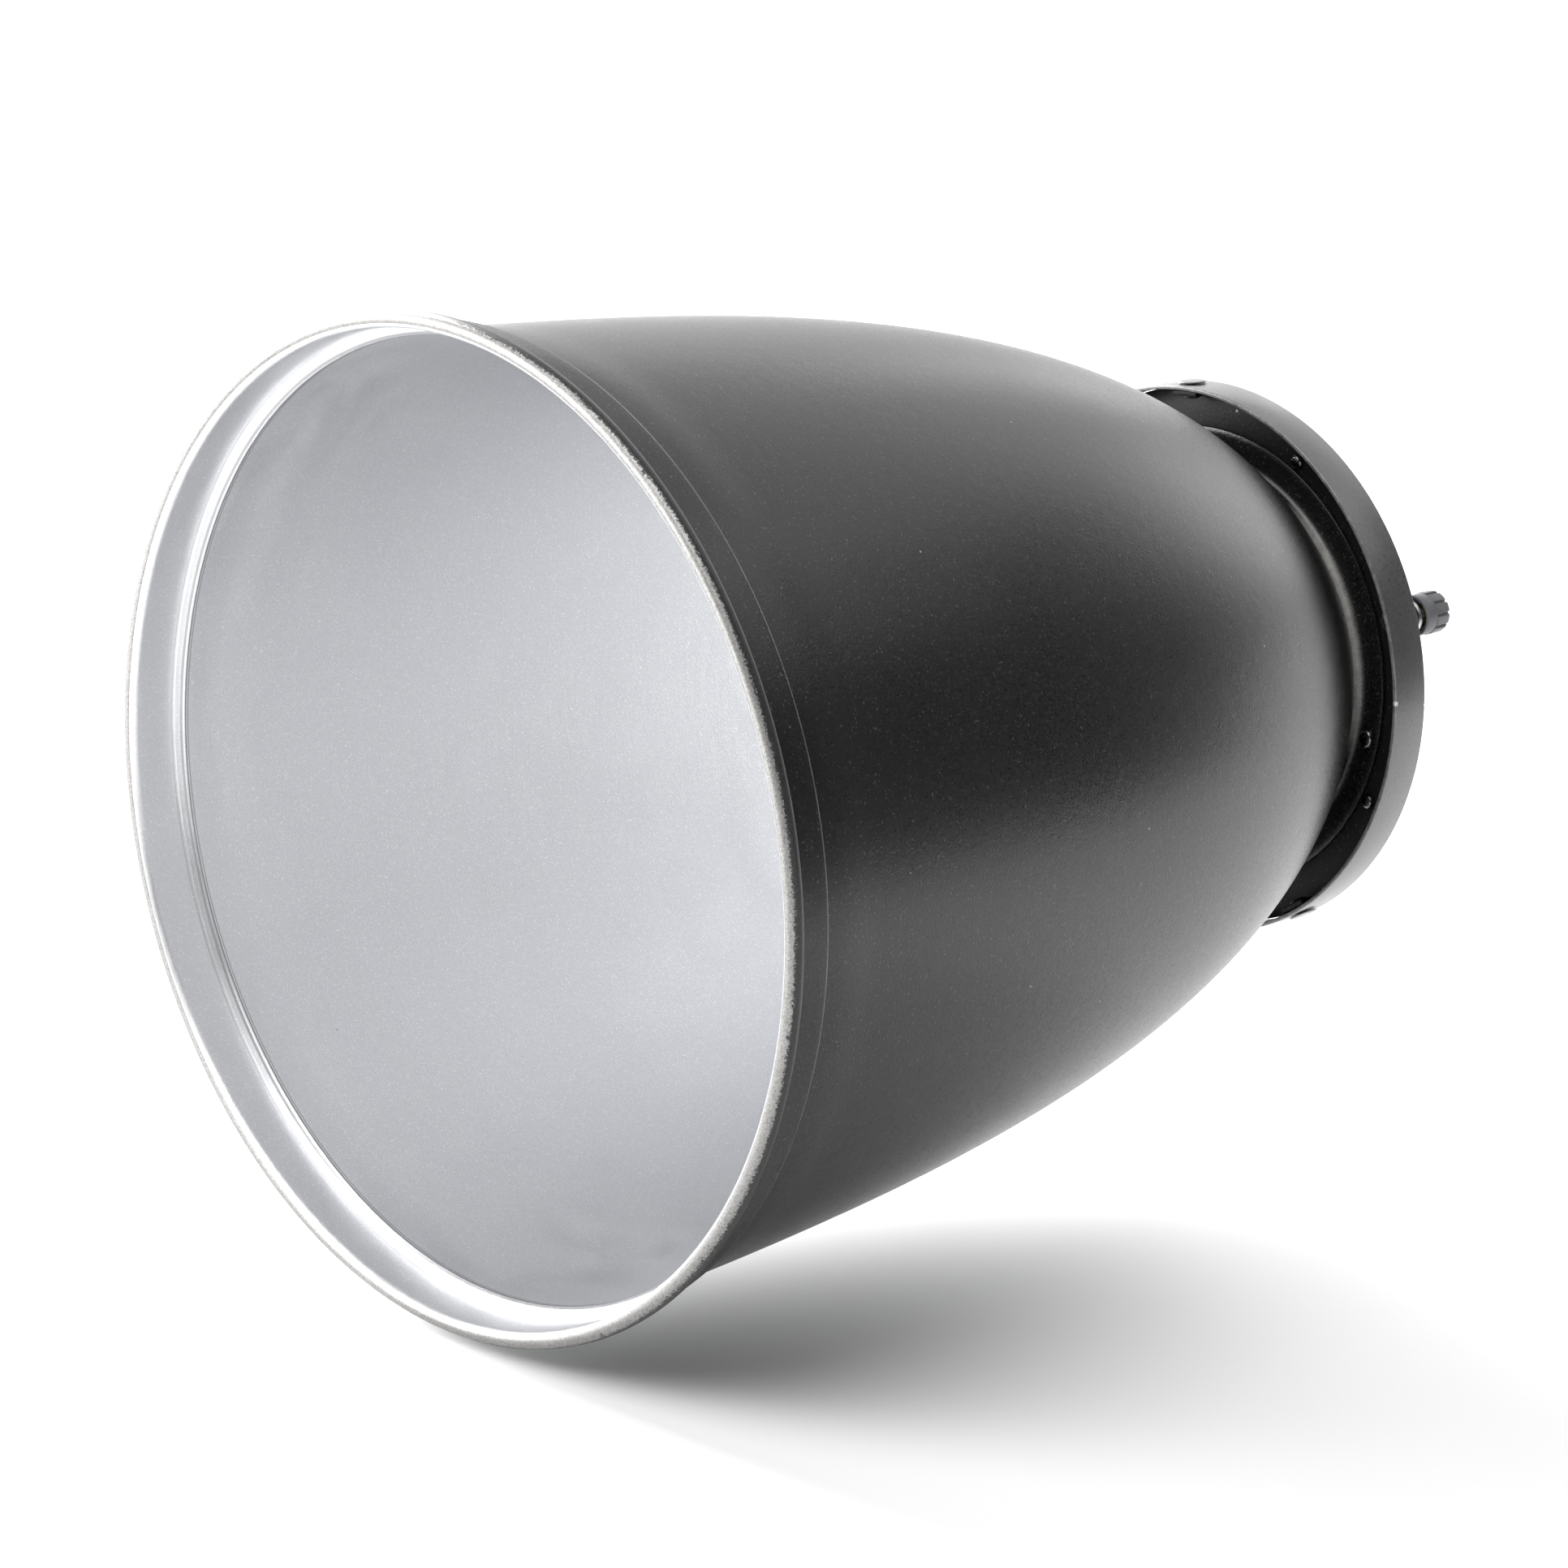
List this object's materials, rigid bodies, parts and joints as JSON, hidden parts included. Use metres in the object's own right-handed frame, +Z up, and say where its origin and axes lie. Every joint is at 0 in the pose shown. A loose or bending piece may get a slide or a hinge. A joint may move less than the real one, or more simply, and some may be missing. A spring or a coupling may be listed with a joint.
{
  "type": "long-throw strobe reflector",
  "caption": "Deep spun metal bowl reflector with a rolled lip and a round rear mounting ring, clamped by fluted thumb nuts.",
  "frame": {"origin": "centre of the mounting plate's rear face, on the optical axis", "axes": "+Y along the optical axis from the mouth to the mount, +Z up as in the picture, +X to the side that carries the visible thumb nut"},
  "size_m": [0.2802, 0.3181, 0.2802],
  "materials": {
    "bowl": "satin black powder coat outside, bare blasted aluminium inside",
    "plate": "matt black",
    "band": "satin black",
    "adapter": "cast, satin",
    "dark_steel": "black oxide",
    "bright_steel": "zinc plated",
    "knob_plastic": "grey moulded, satin",
    "brass": "turned",
    "nylon": "black nylon"
  },
  "bodies": {
    "root": {"reflector_bowl": "bowl", "mount_plate": "plate", "rim_band": "band", "bayonet_adapter": "adapter", "flange_screw_1": "dark_steel", "flange_screw_2": "dark_steel", "flange_screw_3": "dark_steel", "adapter_rivet_1": "dark_steel", "adapter_rivet_2": "dark_steel", "adapter_rivet_3": "dark_steel", "adapter_rivet_4": "dark_steel", "rim_rivet_1": "band", "rim_rivet_2": "band", "rim_rivet_3": "band", "rim_rivet_4": "band", "clamp_stud_1": "bright_steel", "clamp_spacer_1": "bright_steel", "clamp_stud_2": "bright_steel", "clamp_spacer_2": "bright_steel"},
    "latch_1": {"clamp_latch_1": "bright_steel"},
    "washer_1": {"thumb_washer_1": "nylon"},
    "knob_1": {"thumb_knob_1": "knob_plastic", "knob_insert_1": "brass"},
    "latch_2": {"clamp_latch_2": "bright_steel"},
    "washer_2": {"thumb_washer_2": "nylon"},
    "knob_2": {"thumb_knob_2": "knob_plastic", "knob_insert_2": "brass"}
  },
  "joints": [
    {"name": "latch_swing_1", "type": "hinge", "parent": "root", "child": "latch_1", "pos_m": [0.07131, 0, 0.0229], "axis": [0, 1, 0], "range_deg": [-90, 90]},
    {"name": "knob_travel_1", "type": "slide", "parent": "root", "child": "washer_1", "axis": [0, 1, 0], "range_m": [0, 0.0032]},
    {"name": "knob_turn_1", "type": "hinge", "parent": "washer_1", "child": "knob_1", "pos_m": [0.07131, 0, 0.0229], "axis": [0, 1, 0], "range_deg": [0, 1440]},
    {"name": "latch_swing_2", "type": "hinge", "parent": "root", "child": "latch_2", "pos_m": [-0.07131, 0, -0.0229], "axis": [0, 1, 0], "range_deg": [-90, 90]},
    {"name": "knob_travel_2", "type": "slide", "parent": "root", "child": "washer_2", "axis": [0, 1, 0], "range_m": [0, 0.0032]},
    {"name": "knob_turn_2", "type": "hinge", "parent": "washer_2", "child": "knob_2", "pos_m": [-0.07131, 0, -0.0229], "axis": [0, 1, 0], "range_deg": [0, 1440]}
  ],
  "couplings": [
    {"joint": "knob_turn_1", "follows": "knob_travel_1", "rad_per_m": 7854},
    {"joint": "knob_turn_2", "follows": "knob_travel_2", "rad_per_m": 7854}
  ]
}
